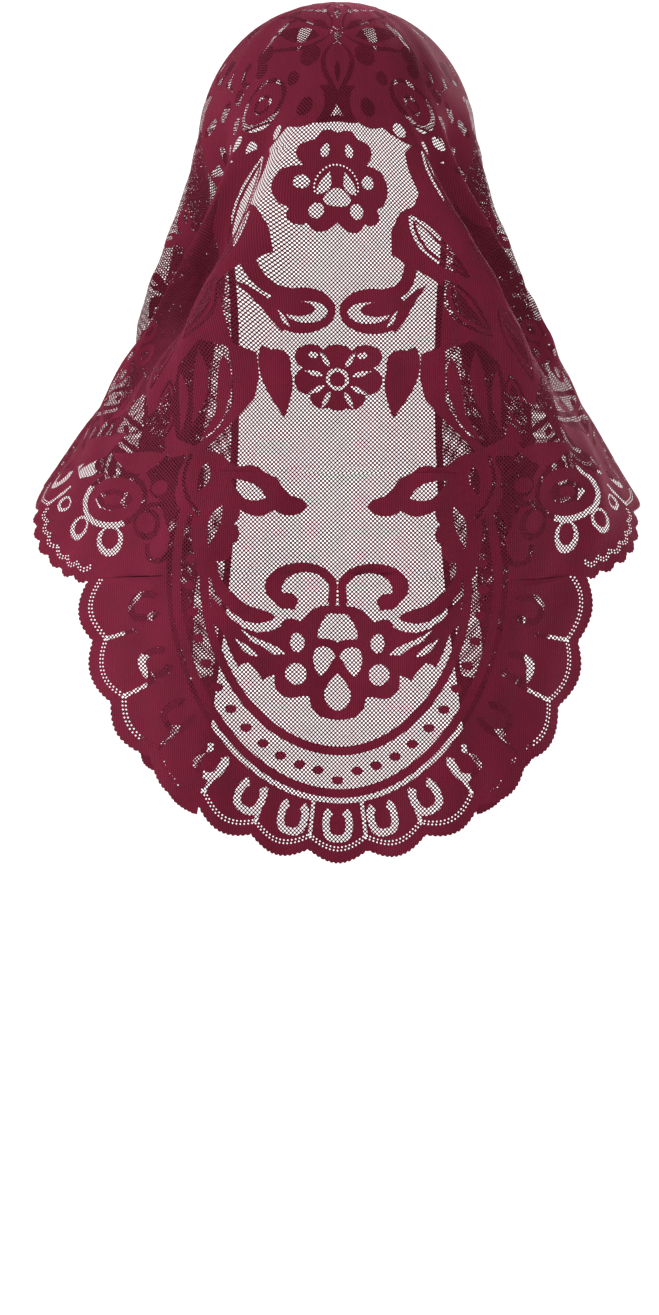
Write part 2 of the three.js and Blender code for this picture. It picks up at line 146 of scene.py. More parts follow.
# The worn drape of the veil. Knitted lace has no body of its own: it rounds the crown, hangs from it in
# folds that fan out to the shoulders, and keeps its length, so what it doesn't go out it goes down.
# Each row is one fold line, as shares of the half widths and depths at neck level and at the hem.
head_side, head_back, head_front = 90, 95, 90
neck_reach, neck_half_width, neck_depth = 240, 119, 92
shoulder_half_width, chest_depth = 194, 118
face_edge_turn, face_edge_run = math.radians(56), 96
drift_full, drift_gone, spread_power, slope_step = 0.75 * neck_reach, 1.6 * neck_reach, 1.25, 4
right_folds = [
    dict(name="back panel", angle=11, follow=0, neck=(0.38, -1.03), half=(0.41, -0.87), hem=(0.55, -0.90)),
    dict(name="panel edge", angle=22.5, follow=0, neck=(0.76, -0.98), hem=(0.90, -0.22)),
    dict(name="shoulder", angle=30, follow=0, neck=(0.72, -0.63), hem=(1.00, 0.12)),
    dict(name="side ridge", angle=40, follow=0, neck=(0.93, -0.48), hem=(0.94, 0.38)),
    dict(name="side valley", angle=50, follow=0.06, neck=(0.63, -0.20), hem=(0.82, 0.52)),
    dict(name="outer ridge", angle=62, follow=0.20, neck=(1.00, 0.05), hem=(0.82, 0.75)),
    dict(name="outer valley", angle=72, follow=0.40, neck=(0.63, 0.25), hem=(0.60, 0.72)),
    dict(name="front ridge", angle=82, follow=0.60, neck=(0.95, 0.46), hem=(0.77, 0.84)),
    dict(name="front valley", angle=89, follow=0.72, neck=(0.68, 0.60), hem=(0.51, 0.89)),
    dict(name="inner ridge", angle=95, follow=0.86, neck=(0.84, 0.75), hem=(0.68, 1.00)),
    dict(name="face edge", angle=100.7, follow=1, neck=(0.57, 0.80), half=(0.36, 0.86), hem=(0.49, 0.99)),
]
left_changes = {
    "back panel": dict(drift=5, neck=(0.26, -1.05)),
    "panel edge": dict(drift=10, neck=(0.60, -1.00)),
    "shoulder": dict(drift=6, neck=(0.62, -0.64)),
    "side ridge": dict(drift=4, neck=(0.84, -0.52)),
    "side valley": dict(neck=(0.60, -0.22)),
}
centre_fold = dict(name="centre back", angle=0, follow=0, side=1,
                   neck=(0, -1.03), half=(0, -0.87), hem=(0, -0.90))
folds = [dict(row, **left_changes.get(row["name"], {}), side=-1) for row in reversed(right_folds)]
folds += [centre_fold] + [dict(row, side=1) for row in right_folds]
tip_angle = math.radians(right_folds[-1]["angle"])


def smooth(value, low, high):
    t = min(max((value - low) / (high - low), 0), 1)
    return t * t * (3 - 2 * t)


def hermite(p0, m0, p1, m1, t):
    t2, t3 = t * t, t * t * t
    return (2 * t3 - 3 * t2 + 1) * p0 + (t3 - 2 * t2 + t) * m0 + (3 * t2 - 2 * t3) * p1 + (t3 - t2) * m1


def fold_angle(fold, reach):
    swing = math.pi if reach <= face_edge_reach else math.acos(-face_edge_reach / reach)
    drift = math.radians(fold.get("drift", 0)) * (1 - smooth(reach, drift_full, drift_gone))
    return math.radians(fold["angle"]) - drift + fold["follow"] * (swing - tip_angle)


def above_neck(fold, reach):
    along = math.sqrt(max(reach**2 - face_edge_reach**2, 0))
    swing = math.pi - face_edge_turn * min(along / face_edge_run, 1)
    turn = math.radians(fold["angle"] - fold.get("drift", 0)) + fold["follow"] * (swing - tip_angle)
    depth = head_back if turn < math.pi / 2 else head_front
    side_out = head_side * math.sin(min(reach / head_side, math.pi / 2))
    depth_out = depth * math.sin(min(reach / depth, math.pi / 2))
    head = np.array([side_out * math.sin(turn), -depth_out * math.cos(turn)])
    neck = np.array([fold["neck"][0] * neck_half_width, fold["neck"][1] * neck_depth])
    share = max((reach - face_edge_reach) / (neck_reach - face_edge_reach), 0) ** spread_power
    return head + (neck - head) * share


def fold_plan(fold, reach):
    side = np.array([fold["side"], 1])
    if reach <= neck_reach:
        return above_neck(fold, reach) * side
    neck = above_neck(fold, neck_reach)
    hem = np.array([fold["hem"][0] * shoulder_half_width, fold["hem"][1] * chest_depth])
    half = (neck + hem) / 2
    if "half" in fold:
        half = np.array([fold["half"][0] * shoulder_half_width, fold["half"][1] * chest_depth])
    drop = hem_reach(math.radians(fold["angle"])) - neck_reach
    share = (reach - neck_reach) / drop
    start = (neck - above_neck(fold, neck_reach - slope_step)) / slope_step * drop / 2
    middle = (hem - neck) / 2
    end = 1.5 * (hem - half) - 0.5 * middle
    if share > 1:
        return (hem + end * 2 * (share - 1)) * side
    if share < 0.5:
        return hermite(neck, start, half, middle, share * 2) * side
    return hermite(half, middle, hem, end, share * 2 - 1) * side


angle_step, reach_step, reach_rows = math.radians(1), 5.0, 136
grid_angles = np.arange(-184, 185) * angle_step
drape_grid = np.zeros((reach_rows, len(grid_angles), 3))
for row in range(1, reach_rows):
    reach = row * reach_step
    angles = np.array([fold["side"] * fold_angle(fold, reach) for fold in folds])
    plans = np.array([fold_plan(fold, reach) for fold in folds])
    i = np.clip(np.searchsorted(angles, grid_angles, side="right") - 1, 0, len(folds) - 2)
    before, after = np.maximum(i - 1, 0), np.minimum(i + 2, len(folds) - 1)
    width = (angles[i + 1] - angles[i])[:, None]
    t = ((grid_angles - angles[i]) / width[:, 0])[:, None]
    m0 = (plans[i + 1] - plans[before]) / (angles[i + 1] - angles[before])[:, None] * width
    m1 = (plans[after] - plans[i]) / (angles[after] - angles[i])[:, None] * width
    curve = hermite(plans[i], m0, plans[i + 1], m1, t)
    curve = np.where(t > 1, plans[i + 1] + m1 * (t - 1), curve)
    curve = np.where(t < 0, plans[i] + m0 * t, curve)
    run = np.linalg.norm(curve - drape_grid[row - 1, :, :2], axis=1)
    drape_grid[row, :, :2] = curve
    drape_grid[row, :, 2] = drape_grid[row - 1, :, 2] - np.sqrt(np.maximum(reach_step**2 - run**2, 0))


def tap_weights(t):
    t2, t3 = t * t, t * t * t
    return [(-t3 + 2 * t2 - t) / 2, (3 * t3 - 5 * t2 + 2) / 2, (-3 * t3 + 4 * t2 + t) / 2, (t3 - t2) / 2]


def draped(flat):
    reach = np.hypot(flat[:, 0], flat[:, 1]) / reach_step
    turn = (np.arctan2(flat[:, 0], flat[:, 1]) - grid_angles[0]) / angle_step
    row, column = np.floor(reach).astype(int), np.floor(turn).astype(int)
    row_taps, column_taps = tap_weights(reach - row), tap_weights(turn - column)
    place = np.zeros((len(flat), 3))
    half_turn = 180
    for a in range(4):
        taps = row + a - 1
        for b in range(4):
            columns = column + b - 1
            columns = np.where(taps < 0, (columns + half_turn) % 360, columns)
            weight = row_taps[a] * column_taps[b]
            place += drape_grid[np.minimum(np.abs(taps), reach_rows - 1), columns] * weight[:, None]
    return place


# The knitted pattern. One kind of yarn makes all of it: the machine packs the stitches close for the
# flowers, scrolls and rails, and opens them to a diamond net for the ground and the hearts. Shapes are
# drawn in order, each over the last: "knit" is close cloth, "net" is open ground, "hole" is a pinhole.
shapes = []


def draw(kind, points):
    shapes.append((kind, points))


def draw_pair(kind, points):
    draw(kind, points)
    draw(kind, mirrored(points))


def placed(pairs):
    return [np.array(p, float) for p in pairs]


def both_halves(half):
    return half + mirrored(half)[1:-1]


def turned(centre, long, wide, lean, corners):
    c, s = math.cos(lean), math.sin(lean)
    angles = [2 * math.pi * k / corners for k in range(corners)]
    ring = [(wide * math.sin(a), long * math.cos(a)) for a in angles]
    return [np.array([centre[0] + x * c + y * s, centre[1] - x * s + y * c]) for x, y in ring]


def oval(centre, long, wide, lean=0.0, corners=16):
    return turned(centre, long, wide, math.radians(lean), corners)


def leaf(base, end, width, bend=0.0, steps=7):
    base, end = np.array(base, float), np.array(end, float)
    along = end - base
    side = np.array([-along[1], along[0]]) / np.linalg.norm(along)
    spine = [base + along * k / steps + side * bend * math.sin(math.pi * k / steps) for k in range(steps + 1)]
    swell = [width / 2 * math.sin(math.pi * (k / steps) ** 0.8) for k in range(steps + 1)]
    left = [p + side * w for p, w in zip(spine, swell)]
    right = [p - side * w for p, w in zip(spine, swell)]
    return left + right[-2:0:-1]


def ribbon(points, width):
    points = placed(points)
    left, right = [], []
    for k, p in enumerate(points):
        along = points[min(k + 1, len(points) - 1)] - points[max(k - 1, 0)]
        side = np.array([-along[1], along[0]]) / np.linalg.norm(along)
        left.append(p + side * width / 2)
        right.append(p - side * width / 2)
    return left + right[::-1]


def smooth_line(points, steps=5):
    points = placed(points)
    line = []
    for k in range(len(points) - 1):
        before, after = points[max(k - 1, 0)], points[min(k + 2, len(points) - 1)]
        m0, m1 = (points[k + 1] - before) / 2, (after - points[k]) / 2
        line += [hermite(points[k], m0, points[k + 1], m1, j / steps) for j in range(steps)]
    return line + [points[-1]]


pinhole_pitch, pinhole_size = 2.5, 1.25


def pinholes(points, pair=True):
    walked, due = 0.0, pinhole_pitch / 2
    for a, b in zip(points[:-1], points[1:]):
        length = float(np.linalg.norm(b - a))
        while due < walked + length:
            at = a + (b - a) * (due - walked) / length
            (draw_pair if pair else draw)("hole", oval(at, pinhole_size / 2, pinhole_size / 2, 0, 4))
            due += pinhole_pitch
        walked += length


def closed(points):
    return points + [points[0]]


def net_line(points, width, pair=True):
    middle = len(points) // 2
    for part in (points[:middle + 1], points[middle:]):
        (draw_pair if pair else draw)("net", ribbon(part, width))


def veined_leaf(base, end, width, bend, vein_width, vein_bend, first, last):
    base, end = np.array(base, float), np.array(end, float)
    draw_pair("knit", leaf(base, end, width, bend))
    draw_pair("net", leaf(base + (end - base) * first, base + (end - base) * last, vein_width, vein_bend))


# The border, knitted round the hem in one with the rest: a close band with a horseshoe of net in each
# scallop, thin lines of net between the scallops, a dotted band of net between two rails inside it, and
# two rows of pinholes along the edge. The front falls have the same border, its rails and dots on the net.
# Places on the back lobe are shares of its half width and depth, those on the front are insets in mm.
front_border = 42.0
rail_sweep, rail_width, front_rail_width = math.radians(118), 5.6, 4.4
band_edge, outer_rail, inner_rail = (0.662, 0.826), (0.622, 0.790), (0.507, 0.634)
front_rail_insets, front_dot_inset, front_dots = (6, 23), 14.5, 34
dot_step, dot_long, dot_wide, dots_each_side = 0.138, 2.8, 3.7, 13
dot_across, dot_down, middle_dot_down = 0.564, 0.712, 0.742
horseshoe_across, horseshoe_down, front_horseshoe_inset = 0.760, 0.903, 23
scallop_line_insets, scallop_line_width, pinhole_insets = (7, 15, 22, 30), 2.4, (7.2, 9.2)


def medallion_line(across, down, sweep=rail_sweep, steps=72):
    turns = [(-1 + 2 * k / steps) * sweep for k in range(steps + 1)]
    return [np.array([across * lobe_half_width * math.sin(t), lobe_top + down * lobe_depth * math.cos(t)])
            for t in turns]


def front_line(inset, start=-0.02, end=1.02, steps=60):
    return [front_curve(start + (end - start) * k / steps, inset)[0] for k in range(steps + 1)]


def squared(share):
    return math.copysign(abs(share) ** 0.75, share)


def horseshoe(centre, out, half_width=9.8, half_length=11.4, band=4.6):
    along = np.array([-out[1], out[0]])
    turns = [math.radians(a) for a in range(-150, 151, 15)]
    square = [(squared(math.sin(t)), squared(math.cos(t))) for t in turns]
    outer = [(half_width * a, half_length * b) for a, b in square]
    inner = [((half_width - band) * a, (half_length - band) * b) for a, b in reversed(square)]
    return [centre + along * a + out * b for a, b in outer + inner]


for cut in cloth_cuts:
    draw("knit", cut)
face_line = [np.array([x, 4.0 - face_edge_reach]) for x in np.linspace(tip_across - 95, 0, 20)]
right_ground = placed([(0, lobe_top - 4), (92, lobe_top - 4), (rose_across - 40, rose_down),
                       (rose_across - 12, rose_down - 42), (rose_across + 40, rose_down - 46)])
right_ground += front_line(front_border, 0.05, 0.87) + face_line
draw("net", right_ground + mirrored(right_ground[1:]))
draw("net", medallion_line(*band_edge))
draw("knit", ribbon(medallion_line(*outer_rail), rail_width))
draw("knit", ribbon(medallion_line(*inner_rail), rail_width))
for k in range(-dots_each_side, dots_each_side + 1):
    turn = k * dot_step
    down = dot_down if k else middle_dot_down
    centre = (dot_across * lobe_half_width * math.sin(turn), lobe_top + down * lobe_depth * math.cos(turn))
    draw("knit", oval(centre, dot_long, dot_wide, 0, 10))
for k in range(lobe_scallops):
    at, out = lobe_curve((k + 0.5) / lobe_scallops)
    centre = np.array([horseshoe_across * at[0], lobe_top + horseshoe_down * (at[1] - lobe_top)])
    draw("net", horseshoe(centre, out))
for k in range(1, lobe_scallops):
    between = [lobe_curve(k / lobe_scallops, inset)[0] for inset in scallop_line_insets]
    net_line(between, scallop_line_width, pair=False)
for k in range(front_scallops):
    centre, out = front_curve((k + 0.5) / front_scallops, front_horseshoe_inset)
    draw_pair("net", horseshoe(centre, out))
    between = [front_curve(k / front_scallops, inset)[0] for inset in scallop_line_insets]
    net_line(between, scallop_line_width)
draw_pair("knit", ribbon(front_line(front_border + front_rail_insets[0], 0.04, 0.88), front_rail_width))
draw_pair("knit", ribbon(front_line(front_border + front_rail_insets[1], 0.05, 0.85), front_rail_width))
for k in range(front_dots):
    centre = front_curve(0.06 + 0.79 * k / front_dots, front_border + front_dot_inset)[0]
    draw_pair("knit", oval(centre, dot_long, dot_wide, 0, 10))
for row, half in zip(hem_runs, (False, True, True)):
    for inset in pinhole_insets:
        pinholes(scalloped(row, inset, end=0.97 if row["name"] == "front" else 1.0), pair=half)

# The crown pattern: a cap of close stitches with lobes round it, a palmette of petals at the middle of the
# head with a large rose on either side, and towards the face a fan of slim leaves and a small rosette.
crown_middle, crown_rose = np.array([0, 8]), (64, 114)
lobe_ring, lobe_window_ring, face_edge_clearance = np.array([94, 106]), np.array([94, 108]), 12
plain_lobes = (168, 192)
draw("knit", oval(crown_middle, 112, 92, 0, 36))
for turn in range(24, 337, 24):
    out = heading(math.radians(turn))
    lobe = crown_middle + out * lobe_ring
    if lobe[1] > face_edge_clearance - face_edge_reach:
        draw("knit", turned(lobe, 19, 21, math.radians(turn), 16))
        if turn not in plain_lobes:
            draw("net", horseshoe(crown_middle + out * lobe_window_ring, out, 9, 10, 4))
draw_pair("knit", oval((62, 118), 33, 42, 0, 22))
draw_pair("knit", oval((119, 108), 66, 30, 6, 24))
draw_pair("knit", oval((26, 130), 16, 16, 0, 18))
patch_edge = smooth_line([(0, 118), (6, 118.6), (9.6, 126), (11, 137), (15, 143.6), (28, 147), (41, 148),
                          (50, 154)], 3)
draw("net", both_halves(patch_edge + placed([(30, 158), (0, 157)])))
petals = [
    dict(base=(0, 84), end=(0, 129), width=27, bend=0, rim=4.0),
    dict(base=(3, 76), end=(58, 74), width=36, bend=-6, rim=3.2),
    dict(base=(0, 74), end=(0, 24), width=24, bend=0, rim=3.2),
    dict(base=(4, 72), end=(40, 34), width=20, bend=-5, rim=3.0),
]
for row in petals:
    base, end = np.array(row["base"], float), np.array(row["end"], float)
    trim = (end - base) / np.linalg.norm(end - base) * row["rim"] * 1.4
    put = draw if base[0] == 0 else draw_pair
    put("net", leaf(base, end, row["width"], row["bend"], 10))
    put("knit", leaf(base + trim * 0.2, end - trim, row["width"] - 2 * row["rim"], row["bend"], 10))
draw("net", leaf((0, 102), (0, 118), 5))
draw("net", oval((0, 80), 4, 2.6, 0, 8))
draw("net", leaf((0, 40), (0, 60), 5))
draw_pair("net", leaf((13, 79), (44, 60), 15, 1.5))
draw_pair("net", leaf((6.5, 73), (17, 57), 6))
draw_pair("net", oval((21, 94), 9, 8, 40, 10))
draw_pair("net", oval((55, 76), 8, 7.5, 30, 10))
crown_spots = [(61, 87, 6, 5.5), (37, 107, 5.5, 5), (24.5, 132, 6.6, 5.8), (86, 86, 6, 5), (95, 104, 7, 5),
               (90, 127, 6, 5), (48, 142, 5, 5), (76, 141, 5, 6), (28, 40, 6, 5), (58, 30, 6, 6),
               (84, 50, 6, 5), (104, 78, 9, 4), (122, 64, 9, 4), (118, 104, 11, 4), (136, 96, 12, 4),
               (112, 136, 10, 4), (132, 134, 11, 4)]
for x, y, long, wide in crown_spots:
    draw_pair("net", oval((x, y), long, wide, x, 10))
draw_pair("net", oval(crown_rose, 17.4, 21, 0, 26))
draw_pair("knit", oval((64, 113), 13.2, 17, 0, 24))
net_line(closed(oval(crown_rose, 5.4, 6.6, 0, 14)), 2.4)
fan_middle, rosette_middle = np.array([0, 20]), np.array([0, -6])
for turn in range(-80, 81, 20):
    out = heading(math.radians(180 - turn))
    draw("net", leaf(fan_middle + out * 50, fan_middle + out * 84, 9))
for turn in range(0, 360, 45):
    out = heading(math.radians(turn))
    draw("net", leaf(rosette_middle + out * 9, rosette_middle + out * 25, 8))
draw("net", oval(rosette_middle, 4, 4, 0, 10))

# The flower at the back of the head: a lobed cloud of close stitches with eyes of net, and a heart of net
# under an arch of pinholes.
cloud_edge = [(0, 150.5), (6, 148.6), (12, 149.6), (15, 153.5), (21, 155.5), (25.5, 160), (25, 165.5),
              (21.5, 169.8), (26, 171), (32, 174), (35.5, 181), (35, 189), (31.5, 195.5), (27.4, 198),
              (28.6, 202), (26.5, 207), (21, 208.4), (18, 207.4), (15.5, 211.4), (10, 213), (4.5, 210.8),
              (0, 206.8)]
draw("knit", both_halves(smooth_line(cloud_edge, 3)))
cloud_eyes = [(8.6, 161.5, 4.4, 3.0, 12), (21.6, 181, 4.4, 4.4, 0), (13, 199.4, 5.0, 4.6, 0)]
for x, y, long, wide, lean in cloud_eyes:
    draw_pair("net", oval((x, y), long, wide, lean, 12))
draw_pair("net", leaf((12.8, 189), (5.4, 174.6), 7.4, -1.8))
heart_edge = [(0, 184.6), (3.4, 186), (7, 188.4), (9, 191.6), (7.6, 194.8), (3.6, 196.4), (0, 196.4)]
draw("net", both_halves(smooth_line(heart_edge, 3)))
arch = [np.array([14.6 * math.sin(a), 184 - 13.6 * math.cos(a)]) for a in np.linspace(-1.9, 1.9, 28)]
pinholes(arch, pair=False)

# A broad column of leaves runs down each side of the panel to the shoulders. It is close cloth with a vein
# of net in each leaf, and opens into a patch of net and slim leaves beside the neck.
column = [(62, 144), (50, 157), (51, 168), (56, 184), (52, 193), (43, 198), (36, 211), (35, 226), (46, 233),
          (56, 239), (64, 246), (63, 264), (62, 284), (50, 289), (49, 304), (52, 318), (60, 327), (74, 340),
          (86, 352), (112, 352), (128, 338), (126, 318), (134, 300), (128, 278), (118, 262), (122, 240),
          (116, 220), (106, 206), (110, 184), (104, 160), (96, 140)]
neck_window = [(65, 286), (80, 280), (98, 294), (108, 318), (104, 340), (90, 347), (76, 337), (65, 320)]
draw_pair("knit", placed(column))
draw_pair("net", placed(neck_window))
column_leaves = [
    dict(base=(68, 158), end=(94, 212), width=11, bend=-3, rim=20),
    dict(base=(52, 204), end=(76, 236), width=7, bend=2, rim=13),
    dict(base=(88, 218), end=(110, 252), width=9, bend=-3, rim=16),
    dict(base=(68, 246), end=(90, 274), width=8, bend=3, rim=15),
    dict(base=(100, 262), end=(122, 300), width=9, bend=-3, rim=17),
    dict(base=(108, 306), end=(118, 340), width=8, bend=2, rim=14),
]
for row in column_leaves:
    base, end = np.array(row["base"], float), np.array(row["end"], float)
    draw_pair("net", leaf(base, end, row["width"], row["bend"]))
    reach = (end - base) * 0.12
    net_line(closed(leaf(base - reach, end + reach, row["rim"], row["bend"])), 2.2)
slim_leaves = [((68, 290), (78, 336), 9), ((82, 286), (92, 334), 9), ((97, 298), (101, 338), 7),
               ((70, 318), (88, 344), 6)]
for base, end, width in slim_leaves:
    draw_pair("knit", leaf(base, end, width, 2))
outer_leaves = [((152, 128), (160, 188), 30, 8), ((190, 210), (204, 262), 24, -6),
                ((150, 286), (176, 316), 20, 5), ((206, 262), (232, 300), 22, 5),
                ((122, 70), (138, 124), 24, 6), ((112, 214), (124, 236), 14, 2)]
for base, end, width, bend in outer_leaves:
    veined_leaf(base, end, width, bend, width * 0.3, bend * 0.5, 0.25, 0.78)

# Two facing scrolls on the net of the back panel, each with a long stem up to the panel's edge.
draw_pair("knit", ribbon(smooth_line([(47, 222), (46, 236), (40, 248), (28, 252)]), 8))
draw_pair("knit", oval((22, 262), 14.5, 21, 0, 22))
draw_pair("net", oval((19, 263), 6.8, 13, 0, 18))
draw_pair("knit", oval((24, 261), 4.6, 10, 0, 14))
draw_pair("net", leaf((30, 272), (44, 256), 4))
draw_pair("knit", leaf((34, 276), (56, 244), 7, -3))

# A rosette below the scrolls: round petals about a pinned ring, with a hanging leaf on either side.
for x, y, long, wide in [(17, 291, 8, 10), (18, 306, 9, 9), (9, 316, 8, 8)]:
    draw_pair("knit", oval((x, y), long, wide, 0, 14))
draw("knit", oval((0, 293), 10, 12, 0, 14))
draw("knit", oval((0, 304), 15, 14, 0, 16))
draw("knit", oval((0, 317), 8, 9, 0, 12))
ring_middle = np.array([0, 305])
net_line(closed(oval(ring_middle, 6.0, 6.0, 0, 14)), 2.4, pair=False)
for turn in (28, 62, 104, 148):
    out = heading(math.radians(turn))
    draw_pair("net", leaf(ring_middle + out * 9, ring_middle + out * 21, 3.2))
draw_pair("net", oval((15, 290), 2.0, 3.2, 20, 8))
draw_pair("knit", leaf((47, 284), (33, 330), 19, 3, 9))
draw_pair("knit", oval((38, 296), 10, 9, 0, 12))

# Garlands where the panel meets the medallion: lobed sprigs whose leaves have hearts of net, joined to the
# side columns, which run on down to the rails as a row of round lobes.
garland_edge = [(18, 385), (22, 380.6), (29, 378), (33, 373.6), (37, 367.6), (43, 364.6), (48, 361),
                (54, 359.6), (60, 361), (66, 359), (76, 352), (96, 350), (92, 380), (78, 386), (67, 383),
                (62, 386), (56, 389.4), (49, 391.6), (43, 391), (37.6, 388), (33, 390.6), (27, 391),
                (21, 389)]
draw_pair("knit", smooth_line(closed(garland_edge), 3)[:-1])
column_lobes = [(67, 390, 8, 9), (65, 403, 7, 7), (70, 413, 8, 8), (78, 424, 8, 7), (79, 402, 22, 10),
                (88, 372, 20, 14)]
for x, y, long, wide in column_lobes:
    draw_pair("knit", oval((x, y), long, wide, 0, 14))
draw_pair("net", leaf((43, 380), (66, 368.5), 10.5, 1.2))
draw_pair("net", leaf((82, 358), (86, 378), 7, 1))
draw_pair("net", leaf((70, 385), (77, 412), 7.5, -1))
net_line(smooth_line([(92, 352), (96, 366), (92, 380), (84, 392)]), 2.6)

# The medallion's flower: a solid bloom with hearts of net, two horned scrolls above and winged leaves.
draw_pair("knit", oval((21.4, 435.4), 15.0, 21.4, 0, 24))
draw_pair("net", oval((19, 437), 10.6, 14.0, 0, 20))
draw_pair("net", placed([(5.4, 440), (24, 440), (25.4, 452), (16, 452.6), (7, 450)]))
draw_pair("knit", oval((30.4, 444.4), 5.2, 7.0, 0, 14))
draw_pair("knit", ribbon(smooth_line([(2.8, 432), (2.8, 442), (3.6, 450)]), 4.4))
upper_wing = [(72, 424.6), (69, 431.7), (65, 437.8), (59, 442.8), (53, 447.4), (46, 449.4), (39, 452),
              (36.6, 454.6), (40.5, 457.2), (48, 458.6), (55, 457.3), (62, 452.5), (68, 446), (73, 440),
              (75.5, 433)]
lower_wing = [(30, 459), (41, 463.4), (48, 464), (56, 461.4), (63, 456), (69, 449), (76, 441.6), (75, 450),
              (77, 457), (70, 462), (67, 468), (64, 477), (60, 485.5), (54, 482.6), (49, 488), (45, 493.6),
              (38, 490), (28, 484)]
bloom_edge = [(0, 447.1), (9, 447.4), (15, 450), (19.5, 455), (22.5, 457), (27.5, 455.2), (32.5, 457),
              (34.4, 461), (41, 463.6), (46, 466), (39, 470.4), (31.5, 477), (38, 482), (38, 491.6),
              (37.6, 499), (33.6, 503.6), (28, 505), (18.4, 504), (16.4, 510), (11, 516.4), (0, 518.6)]
draw_pair("knit", placed(upper_wing))
draw_pair("knit", placed(lower_wing))
draw("knit", both_halves(smooth_line(bloom_edge, 3)))
wing_gap = [(31.4, 477.6), (36, 473.2), (42, 470.4), (49, 467.4), (57, 462.6), (52, 469.4), (44, 473.2),
            (38.4, 478)]
draw_pair("net", placed(wing_gap))
draw_pair("net", leaf((47, 479), (61, 468), 4.2, 1))
heart_edge = [(0, 452.4), (6, 452.6), (9.6, 458), (12, 464), (11.4, 467.6), (5, 468), (0, 469.8)]
draw("net", both_halves(smooth_line(heart_edge, 3)))
half_heart = [(1.2, 479), (4, 474.6), (9, 472.8), (13.6, 475), (15, 481), (13.4, 487.6), (10.6, 491.2),
              (7.8, 489)]
draw_pair("net", smooth_line(closed(half_heart), 3)[:-1])
draw_pair("net", oval((24.2, 470.4), 6.2, 4.3, 0, 12))
draw_pair("net", oval((25.4, 490), 6.8, 6.5, 0, 12))
drop_edge = [(0, 489.4), (4.6, 494.6), (8, 501), (7, 507.4), (3.6, 511.6), (0, 512.4)]
draw("net", both_halves(smooth_line(drop_edge, 3)))

# The shoulder roses: a heart of net round a long dot, a wide ring of net, and petal loops round them.
rose_heart = (148, 377)
shoulder_window = [(116, 318), (138, 326), (164, 346), (190, 352), (182, 362), (160, 358), (132, 361),
                   (112, 346)]
draw_pair("net", placed(shoulder_window))
draw_pair("knit", leaf((112, 350), (156, 344), 15, 5))
draw_pair("knit", leaf((150, 330), (186, 356), 12, -3))
draw_pair("net", oval(rose_heart, 19.5, 26, 0, 28))
draw_pair("knit", oval(rose_heart, 15.6, 22, 0, 26))
draw_pair("net", oval(rose_heart, 7.6, 14, 0, 8))
draw_pair("knit", oval(rose_heart, 3.8, 6.5, 0, 10))
petal_loops = [(172, 397, 8.0, -32), (146, 405, 9.4, 6), (121, 395, 10.0, 42), (113, 371, 7.8, 85),
               (190, 381, 6.0, -68)]
for x, y, radius, turn in petal_loops:
    lean = math.radians(-turn)
    draw_pair("net", turned((x, y), radius * 1.12, radius * 0.96, lean, 18))
    middle = np.array([x, y]) - heading(lean) * radius * 0.16
    draw_pair("knit", turned(middle, radius * 0.76, radius * 0.62, lean, 16))
net_line(smooth_line([(100, 386), (108, 384), (118, 382), (124, 384)]), 3.2)
net_line(smooth_line([(100, 412), (108, 420), (118, 417), (120, 408)]), 3.6)
net_line(smooth_line([(112, 350), (104, 360), (101, 372)]), 2.6)

# The front falls carry open flowers and leaves in turn, on the net between the border and the face edge.
flower_inset = 104
for share in [0.14, 0.31, 0.48, 0.65]:
    centre = front_curve(share, flower_inset)[0]
    draw_pair("knit", oval(centre, 12, 12, 0, 18))
    draw_pair("net", oval(centre, 5, 5, 0, 12))
    for turn in range(0, 360, 60):
        lean = math.radians(turn)
        draw_pair("knit", turned(centre + heading(lean) * 20, 9.5, 9.0, lean, 14))
        draw_pair("net", turned(centre + heading(lean) * 21, 4.6, 4.2, lean, 10))
    for bend, inset in [(6, 92), (-6, 128)]:
        base, end = front_curve(share + 0.072, inset)[0], front_curve(share + 0.132, inset + 4 * bend)[0]
        veined_leaf(base, end, 18, bend, 5, 0, 0.3, 0.75)
sprays = [(186, 106), (166, 4), (238, 84), (226, -24), (288, 26), (288, -52), (350, -56), (200, 190),
          (124, -60)]
for middle in placed(sprays):
    draw_pair("knit", oval(middle, 7, 7, 0, 12))
    for turn in (35, 145, 215, 325):
        out = heading(math.radians(turn))
        veined_leaf(middle + out * 4, middle + out * 27, 12, 2, 3.6, 0, 0.3, 0.8)

# The cloth itself: one layer cut from the flat pattern, close stitches and net side by side, with the
# pinholes open, laid over the crown and hanging in the folds worked out above.
mesh_pitch, mesh_row_pitch, mesh_half_width, hem_clearance = 5.0, 5.0 * 0.87, 600, 3
uv_width, uv_top = 1240.0, 0.9
grid_points = [np.array([x + (mesh_pitch / 2 if k % 2 else 0), y])
               for k, y in enumerate(np.arange(mesh_pitch - face_edge_reach, back_length, mesh_row_pitch))
               for x in np.arange(-mesh_half_width, mesh_half_width, mesh_pitch)]
inside = [p for p in grid_points if math.hypot(*p) < hem_reach(math.atan2(p[0], p[1])) - hem_clearance]
corners, outlines = [], []
for kind, points in shapes:
    area = sum(a[0] * b[1] - b[0] * a[1] for a, b in zip(points, points[1:] + points[:1]))
    ordered = points if area > 0 else points[::-1]
    outlines.append(list(range(len(corners), len(corners) + len(ordered))))
    corners += [Vector((float(p[0]), float(p[1]))) for p in ordered]
corners += [Vector((float(p[0]), float(p[1]))) for p in inside]
cut_points, _, cut_faces, _, _, cut_from = delaunay_2d_cdt(corners, [], outlines, 0, 1e-4, True)
flat = np.array([tuple(p) for p in cut_points])
kept, stitches, flat_area = [], [], 0.0
